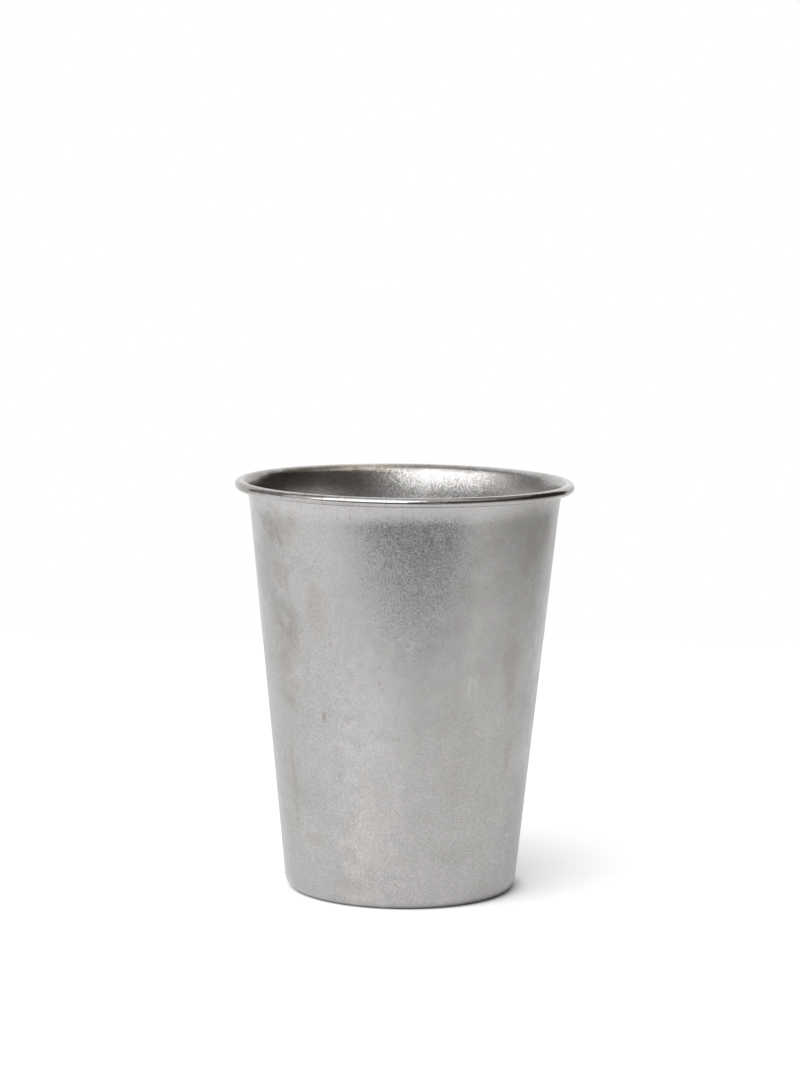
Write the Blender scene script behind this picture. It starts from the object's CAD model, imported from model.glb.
import math

import bpy
from mathutils import Matrix, Vector


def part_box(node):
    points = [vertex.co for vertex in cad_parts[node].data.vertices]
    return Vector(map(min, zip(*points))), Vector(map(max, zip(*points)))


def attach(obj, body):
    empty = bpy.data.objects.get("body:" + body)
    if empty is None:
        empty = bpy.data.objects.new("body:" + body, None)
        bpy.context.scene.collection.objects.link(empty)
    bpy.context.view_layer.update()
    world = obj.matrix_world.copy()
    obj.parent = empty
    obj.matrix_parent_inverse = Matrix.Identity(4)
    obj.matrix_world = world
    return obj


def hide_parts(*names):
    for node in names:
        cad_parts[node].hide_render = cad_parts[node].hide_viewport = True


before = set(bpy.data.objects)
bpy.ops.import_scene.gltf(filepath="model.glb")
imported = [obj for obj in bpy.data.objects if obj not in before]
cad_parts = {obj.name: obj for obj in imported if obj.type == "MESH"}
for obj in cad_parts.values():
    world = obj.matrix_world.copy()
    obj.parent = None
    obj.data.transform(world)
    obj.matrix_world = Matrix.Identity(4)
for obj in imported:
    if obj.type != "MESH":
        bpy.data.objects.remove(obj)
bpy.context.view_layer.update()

# Camera: a long lens 80 cm in front of the cup and a little above its mouth. It is tipped
# slightly down, and rolled a little, so that the cup leans as it does in the photograph.
photo_w_px = 800
photo_h_px = 1067
focal_px = 3325
sensor_w = 36.0
camera_place = Vector((-0.00103, -0.8014, 0.18405))
camera_down_deg = 6.91
camera_roll_deg = 0.684

bpy.ops.object.select_all(action="DESELECT")
bpy.ops.object.camera_add(location=camera_place)
camera = bpy.context.object
camera.name = "camera"
camera.data.sensor_width = sensor_w
camera.data.lens = sensor_w * focal_px / max(photo_w_px, photo_h_px)
camera.matrix_world = (
    Matrix.Translation(camera_place)
    @ Matrix.Rotation(math.radians(90 - camera_down_deg), 4, "X")
    @ Matrix.Rotation(math.radians(camera_roll_deg), 4, "Z")
)
bpy.context.scene.camera = camera

# Base pan: a disc of stainless sheet pressed into a shallow pan, with a raised middle, a flat
# ring to stand on, a rounded foot and a short upright edge. The edge is butt welded to the
# wall and ground flush, so that no seam shows.
base_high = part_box("base_pan")[1]
wall_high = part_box("tapered_wall")[1]
sheet_t = 0.0006
seam_h = base_high.z
cup_h = wall_high.z
foot_d = 0.0559
mouth_d = 0.0762
foot_r = 0.0032
ring_w = 0.0036
raised_h = 0.0012
step_r = 0.0016
round_steps = 256
bend_steps = 12
short_steps = 4
raised_rings = 12
smooth_deg = 40
wall_slope = (mouth_d - foot_d) / 2 / cup_h
lean = math.atan(wall_slope)
sheet_mid = sheet_t / 2


def wall_mid_r(z):
    """Radius of the middle of the wall's sheet at a height."""
    return foot_d / 2 + wall_slope * z - sheet_mid / math.cos(lean)


def bend(centre, radius, from_deg, to_deg, steps):
    """Points of a bend in the sheet, as radius and height, from one angle to another."""
    turn_deg = to_deg - from_deg
    angles = [math.radians(from_deg + turn_deg * i / steps) for i in range(steps + 1)]
    return [
        (centre[0] + radius * math.cos(angle), centre[1] + radius * math.sin(angle))
        for angle in angles
    ]


def straight(start, end, steps):
    """Points along a straight run of the sheet, without its two ends."""
    return [
        tuple(s + (e - s) * i / steps for s, e in zip(start, end))
        for i in range(1, steps)
    ]


def turned_sheet(name, outline):
    """Draws an outline of the sheet's middle in the XZ plane and spins it round the cup's axis."""
    bpy.ops.object.select_all(action="DESELECT")
    first = Vector((outline[0][0], 0, outline[0][1]))
    bpy.ops.mesh.primitive_plane_add(size=sheet_t)
    made = bpy.context.object
    made.name = name
    bpy.ops.object.mode_set(mode="EDIT")
    bpy.ops.mesh.merge(type="CENTER")
    bpy.ops.transform.translate(value=first)
    here = first
    for r, z in outline[1:]:
        there = Vector((r, 0, z))
        bpy.ops.mesh.extrude_region_move(TRANSFORM_OT_translate={"value": there - here})
        here = there
    bpy.ops.mesh.select_all(action="SELECT")
    bpy.ops.mesh.spin(
        steps=round_steps, angle=math.tau, center=(0, 0, 0), axis=(0, 0, 1)
    )
    bpy.ops.mesh.select_all(action="SELECT")
    bpy.ops.mesh.remove_doubles(threshold=sheet_t / 100)
    bpy.ops.mesh.normals_make_consistent(inside=False)
    bpy.ops.object.mode_set(mode="OBJECT")
    return made


def thicken(piece):
    """Gives a turned sheet its thickness, half to each side, and smooths all but its edges."""
    solid = piece.modifiers.new("sheet", "SOLIDIFY")
    solid.thickness = sheet_t
    solid.offset = 0
    solid.use_even_offset = True
    solid.material_offset = 1
    bpy.ops.object.select_all(action="DESELECT")
    piece.select_set(True)
    bpy.context.view_layer.objects.active = piece
    bpy.ops.object.modifier_apply(modifier=solid.name)
    bpy.ops.object.shade_smooth_by_angle(angle=math.radians(smooth_deg))


foot_c = (foot_d / 2 + wall_slope * foot_r - foot_r / math.cos(lean), foot_r)
step_turn = math.degrees(math.acos(1 - raised_h / (2 * step_r)))
step_c = (foot_c[0] - ring_w, sheet_mid + step_r)
raised_c = (
    step_c[0] - 2 * step_r * math.sin(math.radians(step_turn)),
    sheet_mid + raised_h - step_r,
)
raised_edge = bend(raised_c, step_r, 90, 90 - step_turn, bend_steps)
ring_edge = bend(step_c, step_r, 270 - step_turn, 270, bend_steps)
foot_edge = bend(foot_c, foot_r - sheet_mid, -90, -math.degrees(lean), bend_steps)
raised_middle = (0, raised_edge[0][1])
seam_end = (wall_mid_r(seam_h), seam_h)
base_outline = (
    [raised_middle]
    + straight(raised_middle, raised_edge[0], raised_rings)
    + raised_edge
    + ring_edge[1:]
    + straight(ring_edge[-1], foot_edge[0], short_steps)
    + foot_edge
    + straight(foot_edge[-1], seam_end, short_steps)
    + [seam_end]
)
base = turned_sheet("steel_base", base_outline)

# Finish of both pieces: steel tumbled with stones, with a fine grain and the marks of use. A
# scale is the number of a pattern's cells in a metre, and a tint is a share of the colour.
steel_colour = (0.484, 0.476, 0.472, 1)
grain_scale = 5200
grain_tint = 0.14
mottle_scale = 330
mottle_tint = 0.032
blotch_scale = 95
blotch_tint = 0.045
streak_tint = 0.018
streak_stretch = (1, 1, 0.14)
pattern_low = 0.2
pattern_high = 0.8
rough_uneven = 0.1
ripple_scale = 150
ripple_deep = 0.00003
band_low = 0.092
band_high = 0.0958
bead_in_r = 0.0388
bead_out_r = 0.0392
mark_ragged = 1.8
mark_core = 0.3
mark_edge = 1.2
pit_scale = 260
pit_core = 0.04
pit_edge = 0.11
pit_pick_low = 0.4
pit_pick_high = 0.45
scratch_scale = 50
scratch_core = 0.001
scratch_edge = 0.003
scratch_pick_low = 0.5
scratch_pick_high = 0.6
seen_from_front = -1
seen_from_behind = 1


def feed(tree, socket, value):
    """Links a node's output to a socket, or sets the socket to a plain value."""
    if isinstance(value, bpy.types.NodeSocket):
        tree.links.new(value, socket)
    else:
        socket.default_value = value


def sum_up(tree, operation, *values):
    """One step of arithmetic in a material."""
    node = tree.nodes.new("ShaderNodeMath")
    node.operation = operation
    for socket, value in zip(node.inputs, values):
        feed(tree, socket, value)
    return node.outputs[0]


def fade(tree, value, low, high, at_low, at_high):
    """Goes smoothly from one number to another while a value goes from low to high."""
    node = tree.nodes.new("ShaderNodeMapRange")
    node.interpolation_type = "SMOOTHSTEP"
    for socket, number in zip(node.inputs, (value, low, high, at_low, at_high)):
        feed(tree, socket, number)
    return node.outputs["Result"]


def pattern(tree, place, scale, detail, stretch=(1, 1, 1)):
    """A random pattern fixed to the metal, finer with a larger scale."""
    stretched = tree.nodes.new("ShaderNodeMapping")
    stretched.inputs["Scale"].default_value = stretch
    noise = tree.nodes.new("ShaderNodeTexNoise")
    noise.inputs["Scale"].default_value = scale
    noise.inputs["Detail"].default_value = detail
    tree.links.new(place, stretched.inputs["Vector"])
    tree.links.new(stretched.outputs["Vector"], noise.inputs["Vector"])
    return noise


def scaled(tree, value, factor):
    """Multiplies a colour or a direction by a factor."""
    node = tree.nodes.new("ShaderNodeVectorMath")
    node.operation = "SCALE"
    tree.links.new(value, node.inputs[0])
    feed(tree, node.inputs["Scale"], factor)
    return node.outputs[0]


def stain(tree, colour, amount, tint):
    """Multiplies a colour by a tint, by an amount from 0 to 1."""
    node = tree.nodes.new("ShaderNodeMix")
    node.data_type = "RGBA"
    node.blend_type = "MULTIPLY"
    node.clamp_factor = True
    feed(tree, node.inputs["Factor"], amount)
    tree.links.new(colour, node.inputs["A"])
    node.inputs["B"].default_value = (*tint, 1)
    return node.outputs["Result"]


olive = (0.92, 0.91, 0.86)
brown = (0.925, 0.913, 0.885)
tarnish = (1.05, 0.97, 0.87)
pink = (1.03, 1.01, 0.995)
dark = (0.78, 0.77, 0.75)
worn = (0.94, 0.94, 0.93)
dull = (0.9, 0.9, 0.9)
pale = (1.12, 1.12, 1.12)
rim_worn = (0.65, 0.625, 0.585)
rim_dull = (0.84, 0.825, 0.8)
lip_dark = (0.66, 0.65, 0.64)
lip_bright = (1.45, 1.48, 1.53)


def tumbled_steel(name, rough, bead_rough, tilt, bead_tilt, tilt_up, band, side, marks):
    """Stainless steel tumbled with stones: a fine random grain with no direction.

    The grain tips the surface by a tilt, and upward only by the share tilt_up of it. The band
    is how much paler the metal is near the mouth. The marks are placed by their turn from the
    front or from behind, as side says.
    """
    material = bpy.data.materials.new(name)
    material.use_nodes = True
    tree = material.node_tree
    shader = tree.nodes["Principled BSDF"]
    shader.inputs["Metallic"].default_value = 1
    place = tree.nodes.new("ShaderNodeTexCoord").outputs["Object"]
    split = tree.nodes.new("ShaderNodeSeparateXYZ")
    tree.links.new(place, split.inputs[0])
    height = split.outputs["Z"]
    out_x = sum_up(tree, "POWER", split.outputs["X"], 2)
    out_y = sum_up(tree, "POWER", split.outputs["Y"], 2)
    reach = sum_up(tree, "SQRT", sum_up(tree, "ADD", out_x, out_y))
    on_bead = fade(tree, reach, bead_in_r, bead_out_r, 0, 1)

    # The grain tips the surface by a little at random, and the sheet is slightly uneven
    grain = tree.nodes.new("ShaderNodeTexVoronoi")
    grain.inputs["Scale"].default_value = grain_scale
    tree.links.new(place, grain.inputs["Vector"])
    speck = tree.nodes.new("ShaderNodeSeparateColor")
    tree.links.new(grain.outputs["Color"], speck.inputs[0])
    mottle = pattern(tree, place, mottle_scale, detail=3)
    blotch = pattern(tree, place, blotch_scale, detail=3)
    streak = pattern(tree, place, mottle_scale, detail=2, stretch=streak_stretch)
    ripple = pattern(tree, place, ripple_scale, detail=1)
    uneven = tree.nodes.new("ShaderNodeBump")
    uneven.inputs["Distance"].default_value = ripple_deep
    tree.links.new(ripple.outputs["Fac"], uneven.inputs["Height"])
    centred = tree.nodes.new("ShaderNodeVectorMath")
    centred.operation = "SUBTRACT"
    centred.inputs[1].default_value = (0.5, 0.5, 0.5)
    tree.links.new(grain.outputs["Color"], centred.inputs[0])
    flatter = tree.nodes.new("ShaderNodeVectorMath")
    flatter.operation = "MULTIPLY"
    flatter.inputs[1].default_value = (1, 1, tilt_up)
    tree.links.new(centred.outputs[0], flatter.inputs[0])
    tip = scaled(tree, flatter.outputs[0], fade(tree, on_bead, 0, 1, tilt, bead_tilt))
    tipped = tree.nodes.new("ShaderNodeVectorMath")
    tipped.operation = "ADD"
    tree.links.new(uneven.outputs["Normal"], tipped.inputs[0])
    tree.links.new(tip, tipped.inputs[1])
    facing = tree.nodes.new("ShaderNodeVectorMath")
    facing.operation = "NORMALIZE"
    tree.links.new(tipped.outputs[0], facing.inputs[0])
    tree.links.new(facing.outputs[0], shader.inputs["Normal"])

    # Colour: a fine speckle, soft mottling, streaks down the wall, a paler band under the
    # bead, and the marks
    plain = tree.nodes.new("ShaderNodeRGB")
    plain.outputs[0].default_value = steel_colour
    level = fade(tree, speck.outputs[2], 0, 1, 1 - grain_tint, 1 + grain_tint)
    for patch, share in ((mottle, mottle_tint), (blotch, blotch_tint), (streak, streak_tint)):
        around = fade(
            tree, patch.outputs["Fac"], pattern_low, pattern_high, 1 - share, 1 + share
        )
        level = sum_up(tree, "MULTIPLY", level, around)
    in_band = fade(tree, height, band_low, band_high, 1, band)
    level = sum_up(tree, "MULTIPLY", level, in_band)
    colour = scaled(tree, plain.outputs[0], level)
    forward = sum_up(tree, "MULTIPLY", split.outputs["Y"], side)
    turn = sum_up(tree, "ARCTAN2", split.outputs["X"], forward)
    ragged = sum_up(tree, "SUBTRACT", blotch.outputs["Fac"], mottle.outputs["Fac"])
    for turn_deg, up, half_deg, half_up, tint in marks:
        across = sum_up(tree, "SUBTRACT", turn, math.radians(turn_deg))
        across = sum_up(tree, "DIVIDE", across, math.radians(half_deg))
        along = sum_up(tree, "DIVIDE", sum_up(tree, "SUBTRACT", height, up), half_up)
        away = sum_up(tree, "POWER", across, 2)
        away = sum_up(tree, "SQRT", sum_up(tree, "ADD", away, sum_up(tree, "POWER", along, 2)))
        away = sum_up(tree, "ADD", away, sum_up(tree, "MULTIPLY", ragged, mark_ragged))
        colour = stain(tree, colour, fade(tree, away, mark_core, mark_edge, 1, 0), tint)

    # Small dark pits and thin light scratches, in places
    pit = tree.nodes.new("ShaderNodeTexVoronoi")
    pit.inputs["Scale"].default_value = pit_scale
    tree.links.new(place, pit.inputs["Vector"])
    pick = tree.nodes.new("ShaderNodeSeparateColor")
    tree.links.new(pit.outputs["Color"], pick.inputs[0])
    pitted = fade(tree, pit.outputs["Distance"], pit_core, pit_edge, 1, 0)
    picked = fade(tree, pick.outputs[0], pit_pick_low, pit_pick_high, 0, 1)
    pitted = sum_up(tree, "MULTIPLY", pitted, picked)
    colour = stain(tree, colour, pitted, dark)
    line = pattern(tree, place, scratch_scale, detail=0)
    line = sum_up(tree, "ABSOLUTE", sum_up(tree, "SUBTRACT", line.outputs["Fac"], 0.5))
    scratched = fade(tree, line, scratch_core, scratch_edge, 1, 0)
    picked = fade(tree, ripple.outputs["Fac"], scratch_pick_low, scratch_pick_high, 0, 1)
    scratched = sum_up(tree, "MULTIPLY", scratched, picked)
    colour = stain(tree, colour, scratched, pale)
    tree.links.new(colour, shader.inputs["Base Color"])

    # Roughness: smoother on the bead, and a little uneven in the mottling
    rough_here = fade(tree, on_bead, 0, 1, rough, bead_rough)
    uneven_rough = fade(
        tree, mottle.outputs["Fac"], pattern_low, pattern_high, 1 - rough_uneven, 1 + rough_uneven
    )
    rough_here = sum_up(tree, "MULTIPLY", rough_here, uneven_rough)
    tree.links.new(rough_here, shader.inputs["Roughness"])
    return material


# Marks of handling: turn to the right in degrees, from the front on the outside and from
# behind on the inside, then height in metres, half of the width in degrees, half of the
# height in metres, and the tint
outside_marks = (
    (40, 0.045, 42, 0.055, worn),
    (16, 0.0925, 24, 0.0042, pale),
    (-12, 0.03, 17, 0.04, pale),
    (80, 0.026, 24, 0.044, dull),
    (-70, 0.05, 22, 0.065, worn),
    (-62, 0.079, 20, 0.016, dull),
    (56, 0.086, 9, 0.011, olive),
    (49, 0.0586, 5, 0.01, olive),
    (53, 0.0345, 3.5, 0.007, olive),
    (-51, 0.0903, 10, 0.005, brown),
    (-54, 0.0793, 5, 0.006, brown),
    (-36, 0.0733, 5, 0.0065, brown),
    (-54, 0.0587, 8, 0.011, brown),
    (-34.4, 0.0463, 1.2, 0.0014, dark),
    (-56, 0.028, 2.5, 0.012, olive),
    (-44, 0.0155, 9, 0.0022, olive),
    (-17, 0.0155, 11, 0.012, pink),
    (-23, 0.006, 9, 0.0022, brown),
    (-4.1, 0.0882, 0.5, 0.0006, dark),
    (-19.7, 0.0947, 0.4, 0.0005, dark),
)
inside_marks = (
    (-19, 0.0995, 19, 0.0022, tarnish),
    (-17, 0.0992, 12.5, 0.0011, lip_bright),
    (-90, 0.0998, 62, 0.0032, rim_worn),
    (94, 0.0998, 44, 0.0032, rim_dull),
    (14, 0.0991, 24, 0.0008, lip_dark),
)
steel_outside = tumbled_steel(
    "steel_outside",
    rough=0.25,
    bead_rough=0.25,
    tilt=0.11,
    bead_tilt=0.11,
    tilt_up=1,
    band=1.12,
    side=seen_from_front,
    marks=outside_marks,
)
steel_inside = tumbled_steel(
    "steel_inside",
    rough=0.26,
    bead_rough=0.1,
    tilt=0.17,
    bead_tilt=0.065,
    tilt_up=0.4,
    band=1,
    side=seen_from_behind,
    marks=inside_marks,
)
base.data.materials.append(steel_outside)
base.data.materials.append(steel_inside)
thicken(base)
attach(base, "root")
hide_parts("base_pan")

# Tapered wall: sheet formed to a cone and welded along the back, ground flush. Near its mouth
# it curves gently outward, then turns over a small lip and is rolled outward and under into a
# bead, with the cut edge tucked inside.
flare_h = 0.007
flare_turn = math.radians(9)
lip_r = 0.00225
bead_r = 0.00115
tuck_gap = 0.0003
roll_steps = 36
wall_rings = 60
flare_z = cup_h - flare_h
lip_lean = lean + flare_turn
flare_r = (flare_h - lip_r + (lip_r - sheet_t) * math.sin(lip_lean)) / (
    math.sin(lip_lean) - math.sin(lean)
)
flare_c = (
    foot_d / 2 + wall_slope * flare_z + flare_r * math.cos(lean),
    flare_z - flare_r * math.sin(lean),
)
lip_off = flare_r - lip_r + sheet_t
lip_c = (
    flare_c[0] - lip_off * math.cos(lip_lean),
    flare_c[1] + lip_off * math.sin(lip_lean),
)
bead_c = (wall_high.x - bead_r, cup_h - bead_r)
roll_off = (bead_c[0] - lip_c[0], bead_c[1] - lip_c[1])
roll_reach = math.hypot(*roll_off)
tuck_r = lip_r - sheet_t - tuck_gap
tuck_cos = (tuck_r**2 - roll_reach**2 - bead_r**2) / (2 * bead_r * roll_reach)
roll_end = math.degrees(math.atan2(roll_off[1], roll_off[0]) + math.acos(tuck_cos)) - 360
flare_from = 180 - math.degrees(lean)
flare_to = 180 - math.degrees(lip_lean)
flare_bend = bend(flare_c, flare_r + sheet_mid, flare_from, flare_to, bend_steps)
lip_bend = bend(lip_c, lip_r - sheet_mid, flare_to, 90, bend_steps)
bead_bend = bend(bead_c, bead_r - sheet_mid, 90, roll_end, roll_steps)
wall_outline = (
    [seam_end]
    + straight(seam_end, flare_bend[0], wall_rings)
    + flare_bend
    + lip_bend[1:]
    + bead_bend
)
wall = turned_sheet("steel_wall", wall_outline)
wall.data.materials.append(steel_inside)
wall.data.materials.append(steel_outside)
thicken(wall)
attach(wall, "root")
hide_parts("tapered_wall")

# Paper: the white sheet that the cup stands on. The camera and the metal see it lifted to
# white, and it keeps the cup's shadow. It ends in front of the cup and on the right, just out
# of the picture, and the metal reflects the dark table beyond its edge.
paper_left = -1.5
paper_right = 0.3
paper_front_left = -0.6
paper_front_right = -0.205
paper_back = 0.4
paper_white = 0.8
paper_lift = 0.54
paper_lift_metal = 0.295
shadow_reach = 0.05
shadow_low = 0.2
shadow_open = 0.81
shadow_level = 0.6
contact_reach = 0.006
contact_low = 0.2
contact_open = 0.64
panel_turn = -33
panel_rise = 38.5
bpy.ops.object.select_all(action="DESELECT")
bpy.ops.mesh.primitive_plane_add(size=1)
paper = bpy.context.object
paper.name = "paper"
for corner in paper.data.vertices:
    on_right = corner.co.x > 0
    at_back = corner.co.y > 0
    front = paper_front_right if on_right else paper_front_left
    corner.co = (paper_right if on_right else paper_left, paper_back if at_back else front, 0)


def toward(turn_deg, rise_deg):
    """Direction from the cup at a turn from the camera's side and a rise above the table."""
    turn, rise = math.radians(turn_deg), math.radians(rise_deg)
    return Vector((
        math.sin(turn) * math.cos(rise),
        -math.cos(turn) * math.cos(rise),
        math.sin(rise),
    ))


def open_to_panel(tree, distance):
    """How much of the view towards the panel is free of the cup, from a point of the paper."""
    to_panel = tree.nodes.new("ShaderNodeCombineXYZ")
    for socket, number in zip(to_panel.inputs, toward(panel_turn, panel_rise)):
        socket.default_value = number
    free = tree.nodes.new("ShaderNodeAmbientOcclusion")
    free.inputs["Distance"].default_value = distance
    tree.links.new(to_panel.outputs[0], free.inputs["Normal"])
    return free.outputs["AO"]


def seen_white(tree):
    """Whether a ray comes from the camera, or by a reflection or through something clear."""
    ray = tree.nodes.new("ShaderNodeLightPath").outputs
    either = sum_up(tree, "MAXIMUM", ray["Is Camera Ray"], ray["Is Glossy Ray"])
    return sum_up(tree, "MAXIMUM", either, ray["Is Transmission Ray"])


paper_finish = bpy.data.materials.new("paper")
paper_finish.use_nodes = True
tree = paper_finish.node_tree
nodes, links = tree.nodes, tree.links
nodes.remove(nodes["Principled BSDF"])
matt = nodes.new("ShaderNodeBsdfDiffuse")
matt.inputs["Color"].default_value = (paper_white, paper_white, paper_white, 1)
lift = nodes.new("ShaderNodeEmission")
ray = nodes.new("ShaderNodeLightPath")
camera_sees = sum_up(tree, "MULTIPLY", ray.outputs["Is Camera Ray"], paper_lift)
metal_sees = sum_up(tree, "MULTIPLY", seen_white(tree), paper_lift_metal)
level = sum_up(tree, "MAXIMUM", camera_sees, metal_sees)
shadow_fade = open_to_panel(tree, shadow_reach)
shadow_fade = fade(tree, shadow_fade, shadow_low, shadow_open, shadow_level, 1)
contact_fade = open_to_panel(tree, contact_reach)
contact_fade = fade(tree, contact_fade, contact_low, contact_open, 0, 1)
level = sum_up(tree, "MULTIPLY", level, shadow_fade)
level = sum_up(tree, "MULTIPLY", level, contact_fade)
both = nodes.new("ShaderNodeAddShader")
links.new(level, lift.inputs["Strength"])
links.new(matt.outputs[0], both.inputs[0])
links.new(lift.outputs[0], both.inputs[1])
links.new(both.outputs[0], nodes["Material Output"].inputs["Surface"])
paper.data.materials.append(paper_finish)

# Cards: the dim room on the right and behind the camera, the softer edges of the panel, the
# ceiling, and the table under the paper. The camera doesn't see them, but the metal does.
aim = Vector((0, 0, cup_h / 2))
nearly_white = (1, 0.98, 0.96)
brownish = (1, 0.9, 0.81)


def card(name, turn_deg, rise_deg, away, width, height, level, colour=nearly_white):
    """A flat card that faces the cup and glows evenly at a level, out of the camera's sight."""
    out = toward(turn_deg, rise_deg)
    bpy.ops.object.select_all(action="DESELECT")
    bpy.ops.mesh.primitive_plane_add(size=1)
    made = bpy.context.object
    made.name = name
    made.scale = (width, height, 1)
    bpy.ops.object.transform_apply(location=False, rotation=False, scale=True)
    made.rotation_euler = (-out).to_track_quat("-Z", "Y").to_euler()
    made.location = aim + out * away
    bpy.ops.object.transform_apply(location=True, rotation=True, scale=False)
    glow = bpy.data.materials.new(name)
    glow.use_nodes = True
    nodes, links = glow.node_tree.nodes, glow.node_tree.links
    nodes.remove(nodes["Principled BSDF"])
    even = nodes.new("ShaderNodeEmission")
    even.inputs["Color"].default_value = (*colour, 1)
    even.inputs["Strength"].default_value = level
    links.new(even.outputs[0], nodes["Material Output"].inputs["Surface"])
    made.data.materials.append(glow)
    made.visible_camera = False


card("right_card", 56, 10, 2.0, 2.5, 2.4, 0.09, brownish)
card("right_back_card", 112, 16, 2.0, 2.2, 3.0, 0.05, brownish)
card("right_high_card", 118, 56, 1.5, 1.5, 0.8, 0.3, brownish)
card("front_card", 12, 24, 2.3, 1.1, 2.0, 0.4)
card("left_card", -102, 20, 2.0, 2.2, 2.4, 0.32)
card("panel_side", -79.5, 33, 1.5, 0.57, 1.4, 0.9)
card("left_high_card", -102, 56, 1.5, 0.9, 0.5, 0.3)
card("low_card", -20, 5, 1.9, 3.0, 0.42, 0.1)
card("panel_card", -36, 29, 1.6, 2.5, 1.75, 0.35)
card("overhead_card", 0, 89, 1.6, 2.6, 2.6, 0.75)
card("right_edge_card", 152, -2, 2.0, 0.8, 0.8, 0.75)

table_wide = 5.0
table_deep = 2.9
table_under = 0.02
table_cool = (0.9, 0.98, 1.06)
table_warm = (1, 0.99, 0.97)
right_x = paper_right - table_under + table_wide / 2
for name, x_mid, drop, level, colour in (
    ("table", 0, 0.001, 0.12, table_cool),
    ("table_right", right_x, 0.0005, 0.45, table_warm),
):
    card(name, 0, -90, cup_h / 2 + drop, table_wide, table_deep, level, colour)
    bpy.ops.transform.translate(value=(x_mid, paper_back - table_deep / 2, 0))
    bpy.ops.object.transform_apply(location=True, rotation=False, scale=False)

# Studio light: one wide soft panel to the front left, above the cup. The room around it is
# evenly white to the metal and the camera, and slightly cool as a light.


def soft_light(name, turn_deg, rise_deg, away, width, height, radiance):
    """A flat soft light that faces the cup."""
    out = toward(turn_deg, rise_deg)
    bpy.ops.object.light_add(type="AREA", location=aim + out * away)
    light = bpy.context.object
    light.name = name
    light.rotation_euler = (-out).to_track_quat("-Z", "Y").to_euler()
    light.data.shape = "RECTANGLE"
    light.data.size = width
    light.data.size_y = height
    light.data.energy = radiance * math.pi * width * height
    light.visible_camera = False


soft_light(
    "soft_panel", panel_turn, panel_rise, away=1.4, width=1.85, height=1.3, radiance=2.15
)
room_level = 1
room_colour = (0.96, 0.985, 1.02, 1)
world = bpy.data.worlds.new("room")
bpy.context.scene.world = world
world.use_nodes = True
nodes, links = world.node_tree.nodes, world.node_tree.links
background = nodes["Background"]
white = nodes.new("ShaderNodeBackground")
white.inputs["Color"].default_value = (1, 1, 1, 1)
white.inputs["Strength"].default_value = 1
background.inputs["Color"].default_value = room_colour
background.inputs["Strength"].default_value = room_level
choose = nodes.new("ShaderNodeMixShader")
links.new(seen_white(world.node_tree), choose.inputs[0])
links.new(background.outputs[0], choose.inputs[1])
links.new(white.outputs[0], choose.inputs[2])
links.new(choose.outputs[0], nodes["World Output"].inputs["Surface"])

bpy.context.scene.view_settings.view_transform = "Standard"
